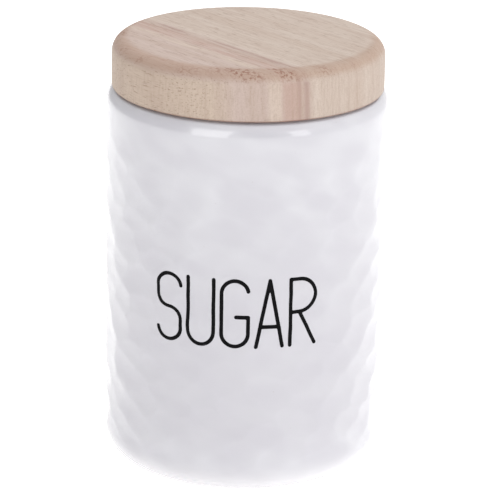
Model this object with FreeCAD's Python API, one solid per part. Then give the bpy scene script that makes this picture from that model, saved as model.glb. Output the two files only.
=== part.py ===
"""Sugar bowl: a tall glazed stoneware canister with a turned wooden lid and a silicone seal.

The jar is slip cast, with a shoulder that curls inward to a short straight mouth and a narrow
foot ring around a shallow recess. The lid is one turned block of pale hardwood: a thick cap
that sits on the jar's rim, and a plug that drops into the mouth. A silicone ring with three
thin fins sits in a groove round the plug and rubs against the mouth. The name of the contents
is fired onto the front of the jar as a thin enamel print.

Frame: +Z up along the jar's axis, origin at the centre of the foot's resting plane, and the
printed name facing -Y. Units are millimetres.
"""

import FreeCAD
import Part

import math
import os

# Driving dimensions
JAR_RADIUS = 50.0  # outer wall just under the shoulder
JAR_HEIGHT = 136.0  # foot to rim
CAP_HEIGHT = 16.8  # the part of the lid above the rim
MOUTH_RADIUS = 40.5

# Jar
BASE_RADIUS = 49.25  # where the slightly tapered wall would meet the table
BASE_CORNER = 10.0
SHOULDER_CORNER = 5.5
WALL = 4.7
FLOOR = 6.0
INNER_CORNER = 12.0
MOUTH_DEPTH = 14.0  # straight land that the seal rubs on
MOUTH_FLARE = 6.5  # height over which the mouth widens to the inner wall
FLARE_FOOT_CORNER = 5.0
FLARE_TOP_CORNER = 3.0
LIP_CORNER = 1.5
FOOT_INNER_RADIUS = 35.6
FOOT_INNER_CORNER = 0.6
RECESS_DEPTH = 1.8
RECESS_SLOPE = 1.4
RECESS_CORNER = 0.8

# Lid
CAP_RADIUS = 47.9
CAP_TOP_CORNER = 4.7
CAP_LOWER_CORNER = 0.5
PLUG_RADIUS = 38.6
PLUG_DEPTH = 12.0
PLUG_CORNER = 1.0
GROOVE_DEPTH = 2.2
GROOVE_TOP = 2.8  # below the rim
GROOVE_HEIGHT = 7.0
GROOVE_CORNER = 0.2

# Seal
SEAL_PLAY = 0.05  # running clearance between ring and groove, on each side
BAND_THICKNESS = 1.5
BAND_CORNER = 0.3
FIN_COUNT = 3
FIN_PITCH = 2.2
FIN_ROOT = 1.1
FIN_TIP = 0.5
FIN_CORNER = 0.15
FIN_RISE = 0.55  # the fins bend up as the lid is pushed in
MOUTH_PLAY = 0.08  # between a bent fin's tip and the mouth

# Printed name: plain upright capitals of one stroke width
LETTERS = "SUGAR"
LETTER_HEIGHT = 24.0
LETTER_WIDTH = 9.3
LETTER_GAP = 2.8  # along the jar's face
STROKE = 1.4
CROSS_BAR_SHARE = 0.3  # height of the A's bar, as a share of the letter's
SPUR_SHARE = 0.45  # height of the G's spur
SPUR_START_SHARE = 0.55  # where the G's spur starts, as a share of its width
PRINT_THICKNESS = 0.1
PRINT_MID_HEIGHT = 68.0  # of the letters' middle above the table

AXIS = FreeCAD.Vector(0, 0, 1)
ORIGIN = FreeCAD.Vector(0, 0, 0)


# Turned shapes

def profile_point(radius, height):
    return FreeCAD.Vector(radius, 0, height)


def rounded_corner(before, corner, after, radius):
    """The start, middle and end of the arc that rounds a corner between two straight runs."""
    towards_before = (before - corner).normalize()
    towards_after = (after - corner).normalize()
    half_angle = towards_before.getAngle(towards_after) / 2
    cut = radius / math.tan(half_angle)
    middle_ray = (towards_before + towards_after).normalize()
    middle = corner + middle_ray * (radius / math.sin(half_angle) - radius)
    return corner + towards_before * cut, middle, corner + towards_after * cut


def rounded_outline(corners):
    """A closed wire through (radius, height, corner radius) triples, in the XZ plane."""
    points = [profile_point(radius, height) for radius, height, _ in corners]
    edges = []
    ends = []
    for index, (_, _, rounding) in enumerate(corners):
        corner = points[index]
        if rounding:
            following = points[(index + 1) % len(points)]
            start, middle, end = rounded_corner(points[index - 1], corner, following, rounding)
            edges.append(Part.Arc(start, middle, end).toShape())
            ends.append((start, end))
        else:
            ends.append((corner, corner))
    for index, (_, leave) in enumerate(ends):
        arrive = ends[(index + 1) % len(ends)][0]
        if leave.distanceToPoint(arrive) > 1e-6:
            edges.append(Part.LineSegment(leave, arrive).toShape())
    return Part.Wire(Part.__sortEdges__(edges))


def turned(corners):
    """The solid swept by an outline turned about the Z axis."""
    swept = Part.Face(rounded_outline(corners)).revolve(ORIGIN, AXIS, 360)
    return swept if swept.ShapeType == "Solid" else Part.Solid(swept.Shells[0])


def wall_radius(height):
    """The jar's outer radius on its straight, tapered wall."""
    return BASE_RADIUS + (JAR_RADIUS - BASE_RADIUS) * height / JAR_HEIGHT


# Pieces

def make_jar():
    mouth_foot = JAR_HEIGHT - MOUTH_DEPTH
    flare_foot = mouth_foot - MOUTH_FLARE
    return turned([
        (0, FLOOR, 0),
        (wall_radius(FLOOR) - WALL, FLOOR, INNER_CORNER),
        (wall_radius(flare_foot) - WALL, flare_foot, FLARE_FOOT_CORNER),
        (MOUTH_RADIUS, mouth_foot, FLARE_TOP_CORNER),
        (MOUTH_RADIUS, JAR_HEIGHT, LIP_CORNER),
        (JAR_RADIUS, JAR_HEIGHT, SHOULDER_CORNER),
        (BASE_RADIUS, 0, BASE_CORNER),
        (FOOT_INNER_RADIUS, 0, FOOT_INNER_CORNER),
        (FOOT_INNER_RADIUS - RECESS_SLOPE, RECESS_DEPTH, RECESS_CORNER),
        (0, RECESS_DEPTH, 0),
    ])


def make_lid():
    plug_foot = JAR_HEIGHT - PLUG_DEPTH
    groove_top = JAR_HEIGHT - GROOVE_TOP
    groove_foot = groove_top - GROOVE_HEIGHT
    groove_radius = PLUG_RADIUS - GROOVE_DEPTH
    return turned([
        (0, JAR_HEIGHT + CAP_HEIGHT, 0),
        (CAP_RADIUS, JAR_HEIGHT + CAP_HEIGHT, CAP_TOP_CORNER),
        (CAP_RADIUS, JAR_HEIGHT, CAP_LOWER_CORNER),
        (PLUG_RADIUS, JAR_HEIGHT, 0),
        (PLUG_RADIUS, groove_top, GROOVE_CORNER),
        (groove_radius, groove_top, GROOVE_CORNER),
        (groove_radius, groove_foot, GROOVE_CORNER),
        (PLUG_RADIUS, groove_foot, GROOVE_CORNER),
        (PLUG_RADIUS, plug_foot, PLUG_CORNER),
        (0, plug_foot, 0),
    ])


def make_lid_seal():
    top = JAR_HEIGHT - GROOVE_TOP - SEAL_PLAY
    foot = JAR_HEIGHT - GROOVE_TOP - GROOVE_HEIGHT + SEAL_PLAY
    inner = PLUG_RADIUS - GROOVE_DEPTH + SEAL_PLAY
    band = inner + BAND_THICKNESS
    tip = MOUTH_RADIUS - MOUTH_PLAY
    outline = [(inner, foot, BAND_CORNER), (band, foot, BAND_CORNER)]
    margin = (top - foot - FIN_PITCH * (FIN_COUNT - 1) - FIN_ROOT) / 2
    for fin in range(FIN_COUNT):
        root = foot + margin + fin * FIN_PITCH
        outline += [
            (band, root, FIN_CORNER),
            (tip, root + FIN_RISE, FIN_CORNER),
            (tip, root + FIN_RISE + FIN_TIP, FIN_CORNER),
            (band, root + FIN_ROOT, FIN_CORNER),
        ]
    outline += [(band, top, BAND_CORNER), (inner, top, BAND_CORNER)]
    return turned(outline)


# Printed name. Letters are drawn in their own plane, X to the right and Z up, from their lower
# left corner, as round-ended strokes: bars between two points and arcs about a centre.

PUNCH_NEAR = JAR_RADIUS + 4.0  # the strokes are punched through the print's skin from here
PUNCH_DEPTH = 12.0


def punched(face):
    return face.extrude(FreeCAD.Vector(0, PUNCH_DEPTH, 0))


def dot(x, z):
    centre = FreeCAD.Vector(x, -PUNCH_NEAR, z)
    return Part.makeCylinder(STROKE / 2, PUNCH_DEPTH, centre, FreeCAD.Vector(0, 1, 0))


def bar(x0, z0, x1, z1):
    start = FreeCAD.Vector(x0, -PUNCH_NEAR, z0)
    end = FreeCAD.Vector(x1, -PUNCH_NEAR, z1)
    aside = (end - start).cross(FreeCAD.Vector(0, 1, 0)).normalize() * (STROKE / 2)
    loop = [start + aside, end + aside, end - aside, start - aside, start + aside]
    return [punched(Part.Face(Part.makePolygon(loop))), dot(x0, z0), dot(x1, z1)]


def arc(x, z, radius, first, last):
    """A stroke about (x, z) from angle first to angle last, in degrees from +X towards +Z."""
    def at(distance, angle):
        turn = math.radians(angle)
        return FreeCAD.Vector(x + distance * math.cos(turn), -PUNCH_NEAR, z + distance * math.sin(turn))

    middle = (first + last) / 2
    outer, inner = radius + STROKE / 2, radius - STROKE / 2
    loop = Part.Wire([
        Part.Arc(at(outer, first), at(outer, middle), at(outer, last)).toShape(),
        Part.LineSegment(at(outer, last), at(inner, last)).toShape(),
        Part.Arc(at(inner, last), at(inner, middle), at(inner, first)).toShape(),
        Part.LineSegment(at(inner, first), at(outer, first)).toShape(),
    ])
    ends = [at(radius, first), at(radius, last)]
    return [punched(Part.Face(loop))] + [dot(end.x, end.z) for end in ends]


WIDE, TALL = LETTER_WIDTH, LETTER_HEIGHT
BOWL = WIDE / 2  # radius of the round ends of S, U and G
R_BOWL = TALL / 4
OPENING = 10  # degrees by which the end arcs of S and G stop short of a half turn


def letter_s():
    return (arc(BOWL, TALL - BOWL, BOWL, OPENING, 180)
            + bar(0, TALL - BOWL, 0, TALL / 2 + BOWL)
            + arc(BOWL, TALL / 2 + BOWL, BOWL, 180, 270)
            + arc(BOWL, TALL / 2 - BOWL, BOWL, 0, 90)
            + bar(WIDE, TALL / 2 - BOWL, WIDE, BOWL)
            + arc(BOWL, BOWL, BOWL, OPENING - 180, 0))


def letter_u():
    return bar(0, TALL, 0, BOWL) + arc(BOWL, BOWL, BOWL, -180, 0) + bar(WIDE, BOWL, WIDE, TALL)


def letter_g():
    return (arc(BOWL, TALL - BOWL, BOWL, OPENING, 180)
            + bar(0, TALL - BOWL, 0, BOWL)
            + arc(BOWL, BOWL, BOWL, -180, 0)
            + bar(WIDE, BOWL, WIDE, TALL * SPUR_SHARE)
            + bar(WIDE, TALL * SPUR_SHARE, WIDE * SPUR_START_SHARE, TALL * SPUR_SHARE))


def letter_a():
    bar_height = TALL * CROSS_BAR_SHARE
    bar_start = WIDE / 2 * CROSS_BAR_SHARE
    return (bar(0, 0, WIDE / 2, TALL)
            + bar(WIDE / 2, TALL, WIDE, 0)
            + bar(bar_start, bar_height, WIDE - bar_start, bar_height))


def letter_r():
    shoulder = WIDE - R_BOWL
    return (bar(0, 0, 0, TALL)
            + bar(0, TALL, shoulder, TALL)
            + arc(shoulder, TALL - R_BOWL, R_BOWL, -90, 90)
            + bar(shoulder, TALL - 2 * R_BOWL, 0, TALL - 2 * R_BOWL)
            + bar(shoulder, TALL - 2 * R_BOWL, WIDE, 0))


STROKES = {"S": letter_s, "U": letter_u, "G": letter_g, "A": letter_a, "R": letter_r}


def print_skin():
    """A skin as thick as the print, on the jar's straight wall."""
    low = PRINT_MID_HEIGHT - TALL
    height = 2 * TALL
    low_radius, high_radius = wall_radius(low), wall_radius(low + height)
    base = FreeCAD.Vector(0, 0, low)
    outer = Part.makeCone(low_radius + PRINT_THICKNESS, high_radius + PRINT_THICKNESS, height, base)
    return outer.cut(Part.makeCone(low_radius, high_radius, height, base))


def make_label_print():
    """Every letter is punched through the skin squarely, in its own plane, so none is slanted."""
    skin = print_skin()
    pitch = LETTER_WIDTH + LETTER_GAP
    printed = []
    for index, letter in enumerate(LETTERS):
        pieces = STROKES[letter]()
        punch = pieces[0].multiFuse(pieces[1:])
        punch.translate(FreeCAD.Vector(-WIDE / 2, 0, PRINT_MID_HEIGHT - TALL / 2))
        along = (index - (len(LETTERS) - 1) / 2) * pitch
        punch.rotate(ORIGIN, AXIS, math.degrees(along / wall_radius(PRINT_MID_HEIGHT)))
        printed += punch.common(skin).Solids
    return Part.Compound([solid.removeSplitter() for solid in printed])


PIECES = {
    "jar": make_jar,
    "lid": make_lid,
    "lid_seal": make_lid_seal,
    "label_print": make_label_print,
}

os.makedirs("parts", exist_ok=True)
for name, make in PIECES.items():
    shape = make()
    shape.exportStep(f"parts/{name}.step")
    print(f"{name}: {len(shape.Solids)} solids, valid {shape.isValid()}, {shape.Volume / 1000:.2f} cm3")
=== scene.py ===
"""Looks of the sugar canister: a dimpled white-glazed jar, a turned lid of pale wood, the silicone
seal round the lid's plug and the name fired onto the front.

Everything is in metres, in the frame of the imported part: +Z up, the jar's axis on Z, its foot at
Z = 0 and the printed name facing -Y. An angle round the jar is measured from -Y towards +X.
"""

import math

import bmesh
import bpy
import numpy as np
from mathutils import Matrix, Vector


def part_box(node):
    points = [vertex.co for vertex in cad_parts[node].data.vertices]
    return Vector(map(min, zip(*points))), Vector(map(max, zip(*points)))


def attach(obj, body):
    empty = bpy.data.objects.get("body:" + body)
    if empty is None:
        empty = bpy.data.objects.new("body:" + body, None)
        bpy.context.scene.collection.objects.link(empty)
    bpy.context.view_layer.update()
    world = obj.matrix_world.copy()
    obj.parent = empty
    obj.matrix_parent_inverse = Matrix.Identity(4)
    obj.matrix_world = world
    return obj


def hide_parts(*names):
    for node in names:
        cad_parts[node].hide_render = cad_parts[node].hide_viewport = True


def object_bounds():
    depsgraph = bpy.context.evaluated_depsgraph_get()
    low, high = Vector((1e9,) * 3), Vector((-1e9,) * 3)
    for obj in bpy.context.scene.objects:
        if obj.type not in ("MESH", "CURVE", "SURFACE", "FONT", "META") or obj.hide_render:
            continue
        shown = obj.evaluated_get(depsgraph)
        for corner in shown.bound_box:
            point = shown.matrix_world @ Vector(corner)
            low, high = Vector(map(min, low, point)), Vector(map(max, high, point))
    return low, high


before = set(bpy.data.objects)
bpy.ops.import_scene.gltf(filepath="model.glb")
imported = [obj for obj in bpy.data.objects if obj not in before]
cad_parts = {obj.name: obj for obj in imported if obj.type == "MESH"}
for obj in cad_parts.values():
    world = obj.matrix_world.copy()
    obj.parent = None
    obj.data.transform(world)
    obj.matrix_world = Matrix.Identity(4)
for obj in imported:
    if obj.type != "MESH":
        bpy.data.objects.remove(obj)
cad_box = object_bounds()

MM = 0.001

# Where the frame puts the pieces
JAR_LOW, JAR_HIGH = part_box("jar")
LID_LOW, LID_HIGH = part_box("lid")
PRINT_LOW, PRINT_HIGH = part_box("label_print")
SEAL_LOW, SEAL_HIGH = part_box("lid_seal")
RIM = JAR_HIGH.z
LID_TOP = LID_HIGH.z
CAP_RADIUS = LID_HIGH.x
PLUG_FOOT = LID_LOW.z

# Jar
RIM_RADIUS = 50.0 * MM  # where the tapered wall would meet the rim, were the shoulder square
BASE_RADIUS = 49.25 * MM  # and where it would meet the table
BASE_CORNER = 10.0 * MM
SHOULDER_CORNER = 5.5 * MM
WALL = 4.7 * MM
FLOOR_THICKNESS = 6.0 * MM
INNER_CORNER = 12.0 * MM
MOUTH_RADIUS = 40.5 * MM
MOUTH_DEPTH = 14.0 * MM
MOUTH_FLARE = 6.5 * MM  # height over which the inside narrows to the mouth
FLARE_CORNER = 5.0 * MM
MOUTH_CORNER = 3.0 * MM
LIP_CORNER = 1.5 * MM
FOOT_INNER_RADIUS = 35.6 * MM
FOOT_CORNER = 0.6 * MM
RECESS_RADIUS = 34.2 * MM
RECESS_CORNER = 0.8 * MM
RECESS_DEPTH = 1.8 * MM
GLAZE_LINE = 0.12 * MM  # the foot is wiped bare of glaze below this height

# Dimples pressed into the jar's wall
DIMPLE_SEED = 11
DIMPLE_COLUMNS = 22
DIMPLE_ROW_PITCH = 5.9 * MM
DIMPLE_DEPTH = 0.43 * MM
DIMPLE_SPREAD = (0.65, 1.15)  # least and greatest share of that depth
DIMPLE_CURVE = 24.0 * MM  # radius of a dimple's hollow
DIMPLE_NARROW = 0.85  # a dimple is wider than it is tall: what distances aside count for,
DIMPLE_FLAT = 1.2  # and distances up
DIMPLE_BLUNTNESS = 0.17 * MM  # how much the glaze rounds the ridges between dimples
DIMPLE_JITTER = 0.34  # of the pitch
LEVEL_SHIFT = 0.05 * MM  # added to the dimpled surface before it fades out
RELIEF_BELOW = 0.78  # how strong the dimples are at the foot and at the rim
RELIEF_ABOVE = 0.55
FADE_BELOW = (4 * MM, 15 * MM)  # heights between which the dimples set in
FADE_ABOVE = (RIM - 22 * MM, RIM - 7 * MM)  # and between which they end
WALL_INSET = 0.12 * MM  # keeps most ridges inside the frame's box
RIDGE_LIMIT = 0.24 * MM  # the ridges are rounded off below this height over the plain wall
RIDGE_ROUNDING = 0.05 * MM
BOX_MARGIN = 0.01 * MM  # left between the shown wall and the frame's box
HOLLOW_SHADE = (-0.1 * MM, 0.35 * MM)  # depths between which the glaze turns greyer

# How finely the turned pieces are divided
OUTER_WALL_FROM = BASE_RADIUS - 2.5 * MM  # beyond this radius the jar's line is its dimpled outside
DIMPLED_STEP = 0.85 * MM
PLAIN_STEP = 5.0 * MM
LID_STEP = 3.0 * MM
JAR_COLUMNS = 420
LID_COLUMNS = 360

# Lid and seal
CAP_TOP_CORNER = 4.7 * MM
CAP_LOWER_CORNER = 0.5 * MM
PLUG_RADIUS = 38.6 * MM
PLUG_CORNER = 1.0 * MM
GROOVE_DEPTH = 2.2 * MM
GROOVE_TOP = 2.8 * MM
GROOVE_HEIGHT = 7.0 * MM
GROOVE_CORNER = 0.2 * MM
SEAL_PLAY = 0.05 * MM
BAND_THICKNESS = 1.5 * MM
BAND_CORNER = 0.3 * MM
FIN_COUNT = 3
FIN_PITCH = 2.2 * MM
FIN_ROOT = 1.1 * MM
FIN_TIP = 0.5 * MM
FIN_CORNER = 0.15 * MM
FIN_RISE = 0.55 * MM
GRAIN_ANGLE = math.radians(-46)  # of the grain, from +X towards +Y
RING_LEAN = 0.05  # of the growth rings, sideways for each unit of height

# Printed name: plain upright capitals of one stroke width
LETTERS = "SUGAR"
LETTER_WIDTH = 9.3 * MM
LETTER_GAP = 2.8 * MM
STROKE = 1.4 * MM
PRINT_THICKNESS = 0.1 * MM
PRINT_VOXEL = 0.15 * MM

# Camera
VIEW_AZIMUTH = math.radians(3.5)
VIEW_ELEVATION = math.radians(18.75)
VIEW_ROLL = math.radians(1.1)
VIEW_DISTANCE = 1.131
VIEW_SHIFT = (1.8 * MM, -1.76 * MM)  # to the right and up in the view, from the object's middle
LENS = 227.8  # on a sensor 36 mm wide
NEAREST = 0.05
FURTHEST = 50

# Studio
STUDIO_FLOOR_RADIUS = 6
STUDIO_FLOOR_GAP = 0.05 * MM  # under the jar's foot
STUDIO_FLOOR_GLOW = 0.45
SOFTBOX_DISTANCE = 1.3

# The tent's strength along one component of the direction: it is the third number where the
# component is the first one, and 1 from the second one on
TENT_FRONT = (-0.95, -0.1, 0.55)
TENT_LEFT = (-1.0, 0.35, 0.38)
TENT_TOP = (1.0, 0.3, 1.25)


# Objects and turned shapes

def new_object(name, data):
    """An object for the data, put in the scene."""
    thing = bpy.data.objects.new(name, data)
    bpy.context.scene.collection.objects.link(thing)
    return thing


def evaluated_mesh(thing):
    """A mesh of the object with its modifiers and bevels applied."""
    graph = bpy.context.evaluated_depsgraph_get()
    return bpy.data.meshes.new_from_object(thing.evaluated_get(graph))


def arc_points(before, corner, after, radius, step):
    """Points along the arc that rounds a corner; points are complex, radius + height * 1j."""
    back = (before - corner) / abs(before - corner)
    onward = (after - corner) / abs(after - corner)
    half = abs(np.angle(onward / back)) / 2
    centre = corner + (back + onward) / abs(back + onward) * radius / math.sin(half)
    start = corner + back * radius / math.tan(half)
    sweep = (math.pi - 2 * half) * np.sign((np.conj(-back) * onward).imag)
    count = max(2, math.ceil(abs(sweep) / step))
    return [centre + (start - centre) * np.exp(1j * sweep * k / count) for k in range(count + 1)]


def rounded_line(corners, arc_step=math.radians(9)):
    """Points through (radius, height, corner radius) triples, with the corners rounded."""
    points = [complex(radius, height) for radius, height, _ in corners]
    line = []
    for index, (_, _, rounding) in enumerate(corners):
        if rounding:
            after = points[(index + 1) % len(points)]
            line += arc_points(points[index - 1], points[index], after, rounding, arc_step)
        else:
            line.append(points[index])
    return line


def divided(line, step_at):
    """The line with more points on its runs, no further apart than step_at(point) says."""
    full = [line[0]]
    for start, end in zip(line, line[1:]):
        count = max(1, math.ceil(abs(end - start) / step_at((start + end) / 2)))
        full += [start + (end - start) * k / count for k in range(1, count + 1)]
    return full


def column_angles(columns):
    return np.arange(columns) * 2 * math.pi / columns


def turned_mesh(name, line, columns, swell=None, closed=False):
    """A mesh swept by a line of radius + height * 1j points about Z.

    An open line starts and ends on the axis. swell, if given, is added to the radius: one value
    for each point of the line and each column. Returns the mesh and the vertices' (row, column).
    """
    line = np.array(line)
    on_axis = np.isclose(line.real, 0)
    angles = column_angles(columns)
    radii = np.repeat(line.real[:, None], columns, axis=1)
    if swell is not None:
        radii = radii + swell
    vertices, starts, places = [], [], []
    for row, height in enumerate(line.imag):
        starts.append(len(vertices))
        if on_axis[row]:
            vertices.append((0, 0, height))
            places.append((row, 0))
            continue
        for column, (angle, radius) in enumerate(zip(angles, radii[row])):
            vertices.append((radius * math.sin(angle), -radius * math.cos(angle), height))
            places.append((row, column))
    pairs = list(zip(range(len(line)), range(1, len(line))))
    if closed:
        pairs.append((len(line) - 1, 0))
    faces = []
    for low, high in pairs:
        for column in range(columns):
            after = (column + 1) % columns
            if on_axis[low]:
                faces.append((starts[low], starts[high] + after, starts[high] + column))
            elif on_axis[high]:
                faces.append((starts[low] + column, starts[low] + after, starts[high]))
            else:
                faces.append((starts[low] + column, starts[low] + after,
                              starts[high] + after, starts[high] + column))
    mesh = bpy.data.meshes.new(name)
    mesh.from_pydata(vertices, [], faces)
    shell = bmesh.new()
    shell.from_mesh(mesh)
    bmesh.ops.recalc_face_normals(shell, faces=shell.faces)
    shell.to_mesh(mesh)
    shell.free()
    mesh.shade_smooth()
    return mesh, np.array(places)


def show(name, mesh, body, node, slot, *materials):
    """Put the mesh in the scene, riding on a body and standing for a CAD node."""
    piece = new_object(name, mesh)
    for material in materials:
        mesh.materials.append(material)
    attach(piece, body)
    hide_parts(node)


# Node materials

def socket_name(key):
    """The shader's name for a socket, such as Coat IOR for coat_ior."""
    return key.replace("_", " ").title().replace("Ior", "IOR")


def rgb(red, green, blue):
    """A shader colour from 8-bit screen values."""
    def linear(value):
        share = value / 255
        return share / 12.92 if share <= 0.04045 else ((share + 0.055) / 1.055) ** 2.4
    return (linear(red), linear(green), linear(blue), 1.0)


class NodeMaterial:
    """A material with one Principled shader, and short calls that add and link its nodes."""

    def __init__(self, name, **constants):
        self.material = bpy.data.materials.new(name)
        self.material.use_nodes = True
        self.nodes = self.material.node_tree.nodes
        self.links = self.material.node_tree.links
        self.shader = self.nodes["Principled BSDF"]
        for key, value in constants.items():
            self.shader.inputs[socket_name(key)].default_value = value

    def put(self, socket, value):
        """Link a node's output to the socket, or set the socket to a constant."""
        if isinstance(value, bpy.types.NodeSocket):
            self.links.new(value, socket)
        else:
            socket.default_value = value

    def add(self, kind, inputs=(), output=0, **settings):
        """A node of that kind, its inputs set or linked by name or number; gives its output."""
        node = self.nodes.new("ShaderNode" + kind)
        for key, value in settings.items():
            setattr(node, key, value)
        for key, value in dict(inputs).items():
            self.put(node.inputs[key], value)
        return node.outputs[output]

    def math(self, operation, first, second=0.0):
        return self.add("Math", {0: first, 1: second}, operation=operation)

    def product(self, first, *others):
        for other in others:
            first = self.math("MULTIPLY", first, other)
        return first

    def mix(self, factor, first, second):
        """The first colour at factor 0, and the second at 1."""
        return self.add("Mix", {0: factor, 6: first, 7: second}, output=2,
                        data_type="RGBA", clamp_factor=True)

    def span(self, value, low, high, to_low=0.0, to_high=1.0):
        """value taken smoothly from low..high to to_low..to_high, and held at the ends."""
        inputs = {"Value": value, "From Min": low, "From Max": high,
                  "To Min": to_low, "To Max": to_high}
        return self.add("MapRange", inputs, interpolation_type="SMOOTHSTEP")

    def noise(self, place, scale, detail=2.0, roughness=0.5, distortion=0.0):
        inputs = {"Vector": place, "Scale": scale, "Detail": detail,
                  "Roughness": roughness, "Distortion": distortion}
        return self.add("TexNoise", inputs)

    def place(self):
        """The shaded point in the object's own coordinates."""
        return self.add("TexCoord", output=3)

    def parts(self, vector):
        node = self.nodes.new("ShaderNodeSeparateXYZ")
        self.put(node.inputs[0], vector)
        return node.outputs

    def vector(self, x, y, z):
        return self.add("CombineXYZ", {0: x, 1: y, 2: z})

    def bump(self, height, distance, strength=1.0, under=None):
        """A normal that follows the height, on top of the normal under it."""
        inputs = {"Height": height, "Distance": distance, "Strength": strength}
        if under is not None:
            inputs["Normal"] = under
        return self.add("Bump", inputs)

    def set(self, **sockets):
        """Set or link the shader's sockets; gives the finished material."""
        for key, value in sockets.items():
            self.put(self.shader.inputs[socket_name(key)], value)
        return self.material


def glaze_material():
    """Gloss glaze over white clay, greyer where it lies thicker: in the dimples and in clouds where it
    ran. Painted shade darkens the lower middle of the wall, and painted light from the floor brightens
    it near the foot."""
    glaze = NodeMaterial("white_glaze", roughness=0.32, ior=1.5, coat_weight=1.0,
                         coat_roughness=0.035, coat_ior=1.5)
    place = glaze.place()
    x, y, z = glaze.parts(place)
    hollow = glaze.add("Attribute", output=2, attribute_name="hollow", attribute_type="GEOMETRY")
    slant = glaze.math("ADD", glaze.product(z, 125), glaze.product(x, 35))
    run = glaze.vector(glaze.product(x, 70), glaze.product(y, 70), slant)
    cloud = glaze.span(glaze.noise(run, 1, detail=0.6, distortion=0.15), 0.28, 0.72)
    # painted shade: the middle and lower wall is greyed, standing in for less light from above and from the
    # floor
    lower = glaze.product(glaze.span(z, 62 * MM, 118 * MM, 1.0, 0.0), glaze.span(z, 8 * MM, 26 * MM))
    colour = glaze.mix(glaze.product(hollow, 0.3), rgb(211, 210, 215), rgb(198, 196, 203))
    colour = glaze.mix(glaze.product(lower, 0.8), colour, rgb(198, 196, 202))
    colour = glaze.mix(glaze.product(cloud, 0.42), colour, rgb(192, 189, 197))
    # painted light: the wall is lightened towards the foot, standing in for light thrown up by the floor
    colour = glaze.mix(glaze.span(z, 1 * MM, 12 * MM, 0.8, 0.0), colour, rgb(224, 222, 224))
    speck = glaze.span(glaze.noise(place, 900, detail=1), 0.79, 0.83)
    colour = glaze.mix(glaze.product(speck, 0.25), colour, rgb(168, 158, 150))
    orange_peel = glaze.bump(glaze.noise(place, 420), 0.02 * MM, strength=0.5)
    return glaze.set(base_color=colour, normal=orange_peel, coat_normal=orange_peel)


def bare_clay_material():
    """The foot ring, wiped clean of glaze: matt, grainy and a little warmer than the glaze."""
    clay = NodeMaterial("bare_clay", ior=1.45)
    place = clay.place()
    grain = clay.noise(place, 2600, detail=4, roughness=0.7)
    patch = clay.noise(place, 130, detail=3)
    colour = clay.mix(clay.span(patch, 0.35, 0.7), rgb(222, 214, 203), rgb(207, 196, 182))
    colour = clay.mix(clay.span(grain, 0.62, 0.75, to_high=0.5), colour, rgb(160, 147, 133))
    return clay.set(base_color=colour, roughness=clay.span(grain, 0.3, 0.7, 0.7, 0.9),
                    normal=clay.bump(grain, 0.05 * MM))


def enamel_material():
    """Black enamel fired onto the glaze, with a faint unevenness in its ink."""
    enamel = NodeMaterial("black_enamel", ior=1.5, specular_ior_level=0.05)
    ink = enamel.noise(enamel.place(), 700, detail=4, roughness=0.65)
    colour = enamel.mix(enamel.span(ink, 0.35, 0.7), rgb(8, 8, 10), rgb(18, 17, 20))
    return enamel.set(base_color=colour, roughness=enamel.span(ink, 0.3, 0.7, 0.3, 0.45),
                      normal=enamel.bump(ink, 0.01 * MM))


# Growth bands of the lid's wood: middle, half width and soft edge in mm across the board, then
# strength and shade
STREAKS = (
    (-23.4, 1.2, 1.6, 0.6, rgb(212, 196, 181)),
    (-18.0, 1.8, 2.6, 0.55, rgb(180, 145, 132)),
    (-15.4, 0.1, 1.2, 0.4, rgb(160, 130, 120)),
    (-12.8, 0.1, 2.0, 0.65, rgb(158, 124, 116)),
    (-8.4, 0.2, 3.0, 0.35, rgb(212, 198, 186)),
)
# Where the turned edge is flecked most: middle and half width
FLECKED = ((-29.5, 1.8), (-18.0, 1.5))
FLECKED_SOFT = 3.0


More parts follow.
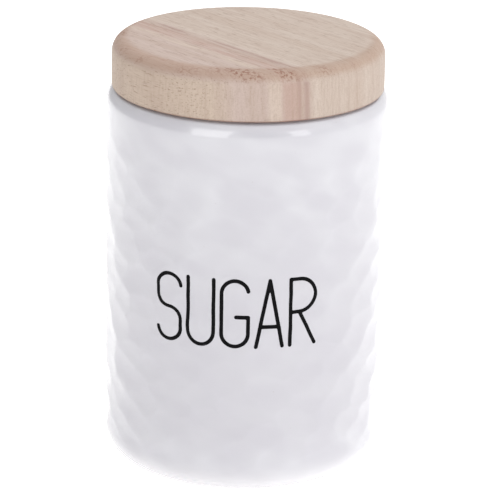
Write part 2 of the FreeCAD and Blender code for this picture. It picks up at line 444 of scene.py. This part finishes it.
class WoodMaterial(NodeMaterial):
    """Pale open-grained hardwood, sanded and unvarnished, with its growth rings on edge."""

    def __init__(self):
        super().__init__("pale_wood", ior=1.45)
        self.x, self.y, self.z = self.parts(self.place())
        along_x, along_y = math.cos(GRAIN_ANGLE), math.sin(GRAIN_ANGLE)
        self.along = self.math("ADD", self.product(self.x, along_x), self.product(self.y, along_y))
        self.across = self.math("SUBTRACT", self.product(self.y, along_x), self.product(self.x, along_y))
        self.radius = self.add("VectorMath", {0: self.vector(self.x, self.y, 0.0)}, output=1,
                               operation="LENGTH")
        self.ring_place = self.wavering_rings()
        self.side = self.span(self.z, LID_TOP - 2 * MM, LID_TOP - 4 * MM)

    def grained_noise(self, scales, detail, roughness=0.5):
        """Noise drawn out by the scales along the grain, across it and upright."""
        parts = zip((self.along, self.across, self.z), scales)
        place = self.vector(*(self.product(part, scale) for part, scale in parts))
        return self.noise(place, 1, detail, roughness)

    def wavering_rings(self):
        """The place across the growth rings, which waver slowly along the grain and lean a little."""
        waver = self.grained_noise((9, 22, 9), detail=3)
        wobble = self.noise(self.vector(self.product(self.along, 42), self.product(self.across, 30), 3.0), 1)
        place = self.across
        for wave, reach in ((waver, 4 * MM), (wobble, 1.6 * MM)):
            place = self.math("ADD", place, self.product(self.math("SUBTRACT", wave, 0.5), reach))
        place = self.math("ADD", place, self.product(self.z, RING_LEAN))
        return self.math("SUBTRACT", place, RIM * RING_LEAN)

    def streak(self, centre, half, soft):
        """A band of growth across the board, in mm from its middle."""
        distance = self.math("ABSOLUTE", self.math("SUBTRACT", self.ring_place, centre * MM))
        return self.span(distance, half * MM, (half + soft) * MM, 1.0, 0.0)

    def growth(self):
        """The colour of the board: heartwood and sapwood, the rings and the broader streaks."""
        heartward = self.span(self.ring_place, -20 * MM, -6 * MM, 1.0, 0.0)
        sapward = self.product(self.span(self.ring_place, -40 * MM, -33 * MM, 1.0, 0.0), self.side)
        wide = self.noise(self.vector(self.ring_place, 0.0, 0.0), 160, roughness=0.55)
        narrow = self.noise(self.vector(self.ring_place, self.product(self.along, 0.06), 7.0), 700)
        colour = self.mix(heartward, rgb(202, 187, 175), rgb(198, 179, 170))
        colour = self.mix(self.product(sapward, 0.6), colour, rgb(207, 190, 168))
        colour = self.mix(self.span(wide, 0.34, 0.66, to_high=0.4), colour, rgb(182, 160, 145))
        colour = self.mix(self.span(narrow, 0.42, 0.75, to_high=0.3), colour, rgb(174, 149, 135))
        patchy = self.span(self.grained_noise((60, 900, 60), detail=2), 0.38, 0.62, 0.1)
        patchy = self.math("MAXIMUM", patchy, self.product(self.side, 0.9))
        for centre, half, soft, strength, shade in STREAKS:
            share = self.product(self.streak(centre, half, soft), strength, patchy)
            colour = self.mix(share, colour, shade)
        return colour

    def with_rays(self, colour):
        """Short upright rays on the turned side."""
        rays = self.span(self.grained_noise((1500, 1500, 260), detail=2), 0.45, 0.7)
        return self.mix(self.product(rays, self.side, 0.3), colour, rgb(168, 146, 128))

    def with_fibres(self, colour, fibre, pore):
        """Fibres and open pores, of which the end grain on the turned side shows fewer."""
        colour = self.mix(self.span(fibre, 0.35, 0.75, to_high=0.3), colour, rgb(170, 146, 130))
        end_grain = self.span(self.math("ABSOLUTE", self.along), 22 * MM, 36 * MM)
        shown = self.math("SUBTRACT", 1.0, self.product(end_grain, self.side, 0.75))
        return self.mix(self.product(pore, shown, 0.5), colour, rgb(136, 106, 86))

    def with_burnished_edge(self, colour):
        """The turned edge is darker, warmer and mottled, most of all in front."""
        reach = self.math("SUBTRACT", self.radius, self.product(self.y, 0.08))
        outer = self.span(reach, CAP_RADIUS - 6.5 * MM, CAP_RADIUS - 3.0 * MM)
        edge = self.product(outer, self.span(self.z, LID_TOP - 3.6 * MM, LID_TOP - 1.0 * MM))
        mottle = self.noise(self.place(), 900, detail=3, roughness=0.6)
        cluster = self.span(self.noise(self.place(), 95, detail=1), 0.46, 0.7, to_high=0.6)
        for centre, half in FLECKED:
            cluster = self.math("MAXIMUM", cluster, self.streak(centre, half, FLECKED_SOFT))
        fleck = self.product(self.span(mottle, 0.47, 0.61), cluster)
        colour = self.mix(self.product(edge, 0.55), colour, rgb(170, 139, 119))
        return self.mix(self.product(edge, fleck, 0.75), colour, rgb(132, 84, 62))

    def with_painted_corner_shade(self, colour):
        """Painted shade on the corner under the cap, where the gap over the jar's shoulder lies in shadow.
        """
        under = self.product(self.span(self.z, RIM, RIM + 0.8 * MM, 1.0, 0.0),
                             self.span(self.z, RIM - 2 * MM, RIM),
                             self.span(self.radius, CAP_RADIUS - 1.6 * MM, CAP_RADIUS - 0.5 * MM))
        # painted shade: a dark reddish line along the cap's lower edge, where it meets the rim
        return self.mix(self.product(under, 0.75), colour, rgb(112, 70, 60))


def wood_material():
    wood = WoodMaterial()
    fibre = wood.grained_noise((60, 2000, 2000), detail=3, roughness=0.6)
    pore = wood.span(wood.grained_noise((210, 2400, 2400), detail=1), 0.6, 0.72)
    colour = wood.with_rays(wood.growth())
    colour = wood.with_fibres(colour, fibre, pore)
    colour = wood.with_burnished_edge(colour)
    colour = wood.with_painted_corner_shade(colour)
    relief = wood.bump(fibre, 0.02 * MM, strength=0.6)
    relief = wood.bump(pore, -0.05 * MM, strength=0.8, under=relief)
    return wood.set(base_color=colour, roughness=wood.span(fibre, 0.3, 0.7, 0.55, 0.7), normal=relief)


def silicone_material():
    """Milky, slightly dusty silicone."""
    silicone = NodeMaterial("clear_silicone", ior=1.41, transmission_weight=0.25, subsurface_weight=0.5,
                            subsurface_radius=(1.0, 0.95, 0.9), subsurface_scale=2 * MM)
    place = silicone.place()
    cloud = silicone.noise(place, 260, detail=3)
    dust = silicone.noise(place, 2200)
    colour = silicone.mix(silicone.span(cloud, 0.35, 0.65), rgb(236, 236, 233), rgb(226, 227, 225))
    return silicone.set(base_color=colour, roughness=silicone.span(dust, 0.35, 0.7, 0.3, 0.5),
                        normal=silicone.bump(dust, 0.01 * MM))


def studio_floor_material():
    floor = NodeMaterial("studio_floor", roughness=0.9, ior=1.2, emission_color=(1, 1, 1, 1),
                         emission_strength=STUDIO_FLOOR_GLOW)
    mottle = floor.noise(floor.place(), 3)
    return floor.set(base_color=floor.mix(mottle, rgb(250, 250, 250), rgb(252, 252, 252)))


# Jar

def plain_wall(height):
    """The radius of the jar's tapered wall before it was dimpled."""
    return BASE_RADIUS + (RIM_RADIUS - BASE_RADIUS) * height / RIM


def smoothstep(value, low, high):
    share = np.clip((value - low) / (high - low), 0, 1)
    return share * share * (3 - 2 * share)


def dimple_places():
    """Angle, height and depth of each dimple, in staggered rows that are a little uneven."""
    random = np.random.default_rng(DIMPLE_SEED)
    row, column = np.mgrid[-1:int(RIM / DIMPLE_ROW_PITCH) + 2, 0:DIMPLE_COLUMNS]
    aside = random.uniform(-DIMPLE_JITTER, DIMPLE_JITTER, row.shape)
    up = random.uniform(-DIMPLE_JITTER, DIMPLE_JITTER, row.shape)
    angle = (column + 0.5 * (row % 2) + aside) * 2 * math.pi / DIMPLE_COLUMNS
    height = (row + up) * DIMPLE_ROW_PITCH
    depth = DIMPLE_DEPTH * random.uniform(*DIMPLE_SPREAD, row.shape)
    return angle.ravel(), height.ravel(), depth.ravel()


DIMPLE_ANGLE, DIMPLE_HEIGHT, DIMPLE_DEEP = dimple_places()


def hammered(angle, height):
    """How far the dimpled wall stands out from the plain one, at matching angles and heights.

    The surface is the smooth lower envelope of one bowl for each dimple. It fades out near the foot
    and the rim, and its ridges are rounded off before they reach the frame's box.
    """
    aside = (angle[:, None] - DIMPLE_ANGLE + math.pi) % (2 * math.pi) - math.pi
    aside = aside * RIM_RADIUS * DIMPLE_NARROW
    up = (height[:, None] - DIMPLE_HEIGHT) * DIMPLE_FLAT
    bowls = (aside ** 2 + up ** 2) / (2 * DIMPLE_CURVE) - DIMPLE_DEEP
    level = -DIMPLE_BLUNTNESS * np.log(np.exp(-bowls / DIMPLE_BLUNTNESS).sum(axis=1))
    set_in = smoothstep(height, *FADE_BELOW)
    still_on = 1 - smoothstep(height, *FADE_ABOVE)
    strength = set_in * still_on * (RELIEF_BELOW + (RELIEF_ABOVE - RELIEF_BELOW) * height / RIM)
    proud = (level + LEVEL_SHIFT) * strength - WALL_INSET * set_in
    limit = np.minimum(RIDGE_LIMIT, JAR_HIGH.x - BOX_MARGIN - plain_wall(height))
    both = np.exp(-proud / RIDGE_ROUNDING) + np.exp(-limit / RIDGE_ROUNDING)
    return -RIDGE_ROUNDING * np.log(both)


def jar_line():
    """The jar's outline, from the middle of its inside floor to the middle of its foot recess."""
    mouth_foot = RIM - MOUTH_DEPTH
    flare_foot = mouth_foot - MOUTH_FLARE
    line = rounded_line([
        (0, FLOOR_THICKNESS, 0),
        (plain_wall(FLOOR_THICKNESS) - WALL, FLOOR_THICKNESS, INNER_CORNER),
        (plain_wall(flare_foot) - WALL, flare_foot, FLARE_CORNER),
        (MOUTH_RADIUS, mouth_foot, MOUTH_CORNER),
        (MOUTH_RADIUS, RIM, LIP_CORNER),
        (RIM_RADIUS, RIM, SHOULDER_CORNER),
        (BASE_RADIUS, 0, BASE_CORNER),
        (FOOT_INNER_RADIUS, 0, FOOT_CORNER),
        (RECESS_RADIUS, RECESS_DEPTH, RECESS_CORNER),
        (0, RECESS_DEPTH, 0),
    ])
    return divided(line, lambda point: DIMPLED_STEP if point.real > OUTER_WALL_FROM else PLAIN_STEP)


def make_jar():
    line = np.array(jar_line())
    angles = column_angles(JAR_COLUMNS)
    swell = np.zeros((len(line), JAR_COLUMNS))
    for row in np.flatnonzero(line.real > OUTER_WALL_FROM):
        swell[row] = hammered(angles, np.full(JAR_COLUMNS, line[row].imag))
    mesh, places = turned_mesh("jar_glazed", line, JAR_COLUMNS, swell)
    hollow = mesh.attributes.new("hollow", "FLOAT", "POINT")
    depth = -swell[places[:, 0], places[:, 1]]
    hollow.data.foreach_set("value", smoothstep(depth, *HOLLOW_SHADE).astype(np.float32))
    show("jar_glazed", mesh, "jar", "jar", "white_glaze", glaze_material(), bare_clay_material())
    for face in mesh.polygons:
        bare = face.center.z < GLAZE_LINE and face.center.xy.length > FOOT_INNER_RADIUS - 0.5 * MM
        face.material_index = int(bare)


# Printed name. A letter is a list of smooth strokes, each a list of (x, z) points in the letter's own
# plane, from its lower left corner. Heights and widths run between the middles of the strokes.

TALL = PRINT_HIGH.z - PRINT_LOW.z - STROKE
WIDE = LETTER_WIDTH
BOWL = WIDE / 2


def bend(x, z, radius, first, last):
    """Points about (x, z) from angle first to angle last, in degrees from +X towards +Z."""
    turns = np.radians(np.linspace(first, last, max(3, round(abs(last - first) / 10))))
    return [(x + radius * math.cos(turn), z + radius * math.sin(turn)) for turn in turns]


def letter_s():
    return [bend(BOWL, TALL - BOWL, BOWL, 10, 180)
            + bend(BOWL, TALL / 2 + BOWL, BOWL, 180, 270)
            + bend(BOWL, TALL / 2 - BOWL, BOWL, 90, 0)
            + bend(BOWL, BOWL, BOWL, 0, -170)]


def letter_u():
    return [[(0, TALL)] + bend(BOWL, BOWL, BOWL, -180, 0) + [(WIDE, TALL)]]


def letter_g():
    spur = TALL * 0.45
    return [bend(BOWL, TALL - BOWL, BOWL, 10, 180) + bend(BOWL, BOWL, BOWL, -180, 0) + [(WIDE, spur)],
            [(WIDE, spur), (WIDE * 0.55, spur)]]


def letter_a():
    cross = 0.3
    return [[(0, 0), (WIDE / 2, TALL)],
            [(WIDE / 2, TALL), (WIDE, 0)],
            [(WIDE / 2 * cross, TALL * cross), (WIDE - WIDE / 2 * cross, TALL * cross)]]


def letter_r():
    radius = TALL / 4
    shoulder = WIDE - radius
    return [[(0, 0), (0, TALL)],
            [(0, TALL)] + bend(shoulder, TALL - radius, radius, 90, -90) + [(0, TALL - 2 * radius)],
            [(shoulder, TALL - 2 * radius), (WIDE, 0)]]


STROKES = {"S": letter_s, "U": letter_u, "G": letter_g, "A": letter_a, "R": letter_r}


def stroke_curve():
    """The name as round tubes in the plane y = 0, x along the jar's face, z up from the table."""
    curve = bpy.data.curves.new("print_strokes", "CURVE")
    curve.dimensions = "3D"
    curve.bevel_depth = STROKE / 2
    curve.bevel_resolution = 4
    curve.use_fill_caps = True
    foot = PRINT_LOW.z + STROKE / 2
    for index, letter in enumerate(LETTERS):
        left = (index - (len(LETTERS) - 1) / 2) * (WIDE + LETTER_GAP) - WIDE / 2
        for stroke in STROKES[letter]():
            spline = curve.splines.new("POLY")
            spline.points.add(len(stroke) - 1)
            for point, (x, z) in zip(spline.points, stroke):
                point.co = (left + x, 0, foot + z, 1)
    return curve


def solid_strokes():
    """The tubes and a ball at each of their points, all in one mesh."""
    tubes = new_object("print_strokes", stroke_curve())
    solid = bmesh.new()
    solid.from_mesh(evaluated_mesh(tubes))
    for spline in tubes.data.splines:
        for point in spline.points:
            bmesh.ops.create_icosphere(solid, subdivisions=3, radius=STROKE / 2,
                                       matrix=Matrix.Translation(point.co.xyz))
    mesh = bpy.data.meshes.new("label_enamel")
    solid.to_mesh(mesh)
    solid.free()
    bpy.data.objects.remove(tubes)
    return mesh


def fused_strokes():
    """The strokes with one even skin for each letter."""
    fused = new_object("print_fused", solid_strokes())
    remesh = fused.modifiers.new("fuse", "REMESH")
    remesh.mode = "VOXEL"
    remesh.voxel_size = PRINT_VOXEL
    smooth = fused.modifiers.new("even", "SMOOTH")
    smooth.iterations = 3
    mesh = evaluated_mesh(fused)
    bpy.data.objects.remove(fused)
    return mesh


def make_print():
    """Raised ink that follows the dimples: the fused strokes, flattened and wrapped on the wall."""
    mesh = fused_strokes()
    flat = np.zeros(len(mesh.vertices) * 3)
    mesh.vertices.foreach_get("co", flat)
    x, y, z = flat.reshape(-1, 3).T
    middle = (PRINT_LOW.z + PRINT_HIGH.z) / 2
    angle = x / plain_wall(middle)
    radius = plain_wall(z) + hammered(angle, z) - y / (STROKE / 2) * PRINT_THICKNESS
    wrapped = np.stack([radius * np.sin(angle), -radius * np.cos(angle), z], axis=1)
    mesh.vertices.foreach_set("co", wrapped.ravel())
    mesh.update()
    mesh.shade_smooth()
    show("label_enamel", mesh, "jar", "label_print", "black_enamel", enamel_material())


# Lid and seal

def make_lid():
    groove_top = RIM - GROOVE_TOP
    groove_foot = groove_top - GROOVE_HEIGHT
    groove_radius = PLUG_RADIUS - GROOVE_DEPTH
    line = rounded_line([
        (0, LID_TOP, 0),
        (CAP_RADIUS, LID_TOP, CAP_TOP_CORNER),
        (CAP_RADIUS, RIM, CAP_LOWER_CORNER),
        (PLUG_RADIUS, RIM, 0),
        (PLUG_RADIUS, groove_top, GROOVE_CORNER),
        (groove_radius, groove_top, GROOVE_CORNER),
        (groove_radius, groove_foot, GROOVE_CORNER),
        (PLUG_RADIUS, groove_foot, GROOVE_CORNER),
        (PLUG_RADIUS, PLUG_FOOT, PLUG_CORNER),
        (0, PLUG_FOOT, 0),
    ])
    mesh, _ = turned_mesh("lid_turned", divided(line, lambda point: LID_STEP), LID_COLUMNS)
    show("lid_turned", mesh, "lid", "lid", "pale_wood", wood_material())


def make_seal():
    """A band in the lid's groove, with thin fins that slant upwards, as they do once the lid is pushed in.
    """
    foot, top = SEAL_LOW.z, SEAL_HIGH.z
    inner = PLUG_RADIUS - GROOVE_DEPTH + SEAL_PLAY
    band = inner + BAND_THICKNESS
    tip = SEAL_HIGH.x
    outline = [(inner, foot, BAND_CORNER), (band, foot, BAND_CORNER)]
    margin = (top - foot - FIN_PITCH * (FIN_COUNT - 1) - FIN_ROOT) / 2
    for fin in range(FIN_COUNT):
        root = foot + margin + fin * FIN_PITCH
        outline += [
            (band, root, FIN_CORNER),
            (tip, root + FIN_RISE, FIN_CORNER),
            (tip, root + FIN_RISE + FIN_TIP, FIN_CORNER),
            (band, root + FIN_ROOT, FIN_CORNER),
        ]
    outline += [(band, top, BAND_CORNER), (inner, top, BAND_CORNER)]
    line = rounded_line(outline, math.radians(18))
    mesh, _ = turned_mesh("seal_ring", line, LID_COLUMNS, closed=True)
    show("seal_ring", mesh, "seal", "lid_seal", "clear_silicone", silicone_material())


# Studio

def direction(azimuth, elevation):
    """A unit vector, its azimuth measured from -Y towards +X."""
    return Vector((math.sin(azimuth) * math.cos(elevation), -math.cos(azimuth) * math.cos(elevation),
                   math.sin(elevation)))


def make_camera():
    """The camera looks at the middle of the object, a little off centre and slightly rolled."""
    camera = new_object("camera", bpy.data.cameras.new("camera"))
    bpy.context.scene.camera = camera
    camera.data.lens = LENS
    camera.data.clip_start = NEAREST
    camera.data.clip_end = FURTHEST
    back = direction(VIEW_AZIMUTH, VIEW_ELEVATION)
    facing = back.to_track_quat("Z", "Y").to_matrix().to_4x4()
    middle = Vector((0, 0, (cad_box[0].z + cad_box[1].z) / 2))
    aside = facing @ Vector((*VIEW_SHIFT, 0))
    camera.matrix_world = (Matrix.Translation(middle + aside + back * VIEW_DISTANCE)
                           @ facing @ Matrix.Rotation(VIEW_ROLL, 4, "Z"))


def make_floor():
    """A wide pale disc under the object."""
    mesh = bpy.data.meshes.new("floor")
    disc = bmesh.new()
    bmesh.ops.create_circle(disc, cap_ends=True, segments=96, radius=STUDIO_FLOOR_RADIUS)
    disc.to_mesh(mesh)
    disc.free()
    mesh.materials.append(studio_floor_material())
    floor = new_object("floor", mesh)
    floor.location.z = JAR_LOW.z - STUDIO_FLOOR_GAP


def softbox(name, azimuth, elevation, width, height, power):
    """An area light that faces the object, placed by degrees from the camera's side."""
    lamp = bpy.data.lights.new(name, "AREA")
    lamp.shape = "RECTANGLE"
    lamp.size = width
    lamp.size_y = height
    lamp.energy = power
    light = new_object(name, lamp)
    towards = direction(VIEW_AZIMUTH + math.radians(azimuth), math.radians(elevation))
    light.location = Vector((0, 0, RIM)) + towards * SOFTBOX_DISTANCE
    light.rotation_euler = towards.to_track_quat("Z", "Y").to_euler()
    return light


def make_softboxes():
    """One box overhead that lights without a highlight, and two that only give highlights."""
    above = softbox("softbox_above", azimuth=10, elevation=66, width=0.9, height=0.9, power=5.5)
    left = softbox("softbox_left", azimuth=-29, elevation=18, width=0.7, height=1.1, power=6.6)
    right = softbox("softbox_right", azimuth=43, elevation=17, width=0.34, height=0.85, power=2.4)
    above.visible_glossy = False
    left.visible_diffuse = False
    right.visible_diffuse = False


def make_tent():
    """A white tent all round, darker in front and on the left, and brighter overhead."""
    world = bpy.data.worlds.new("tent")
    bpy.context.scene.world = world
    world.use_nodes = True
    tree = world.node_tree

    def node(kind, **settings):
        made = tree.nodes.new("ShaderNode" + kind)
        for key, value in settings.items():
            setattr(made, key, value)
        return made

    def factor(component, first, second, share):
        """A factor that goes from share, where the component is first, to 1 where it is second."""
        span = node("MapRange", interpolation_type="SMOOTHSTEP")
        limits = {"From Min": first, "From Max": second, "To Min": share, "To Max": 1.0}
        for key, value in limits.items():
            span.inputs[key].default_value = value
        tree.links.new(component, span.inputs["Value"])
        return span.outputs[0]

    parts = node("SeparateXYZ")
    tree.links.new(node("TexCoord").outputs["Generated"], parts.inputs[0])
    strength = factor(parts.outputs["Y"], *TENT_FRONT)
    for component, change in (("X", TENT_LEFT), ("Z", TENT_TOP)):
        product = node("Math", operation="MULTIPLY")
        tree.links.new(strength, product.inputs[0])
        tree.links.new(factor(parts.outputs[component], *change), product.inputs[1])
        strength = product.outputs[0]
    tree.links.new(strength, tree.nodes["Background"].inputs["Strength"])
    tree.nodes["Background"].inputs["Color"].default_value = (1, 1, 1, 1)


make_camera()
make_jar()
make_print()
make_lid()
make_seal()
make_floor()
make_softboxes()
make_tent()
bpy.context.scene.view_settings.view_transform = "Standard"
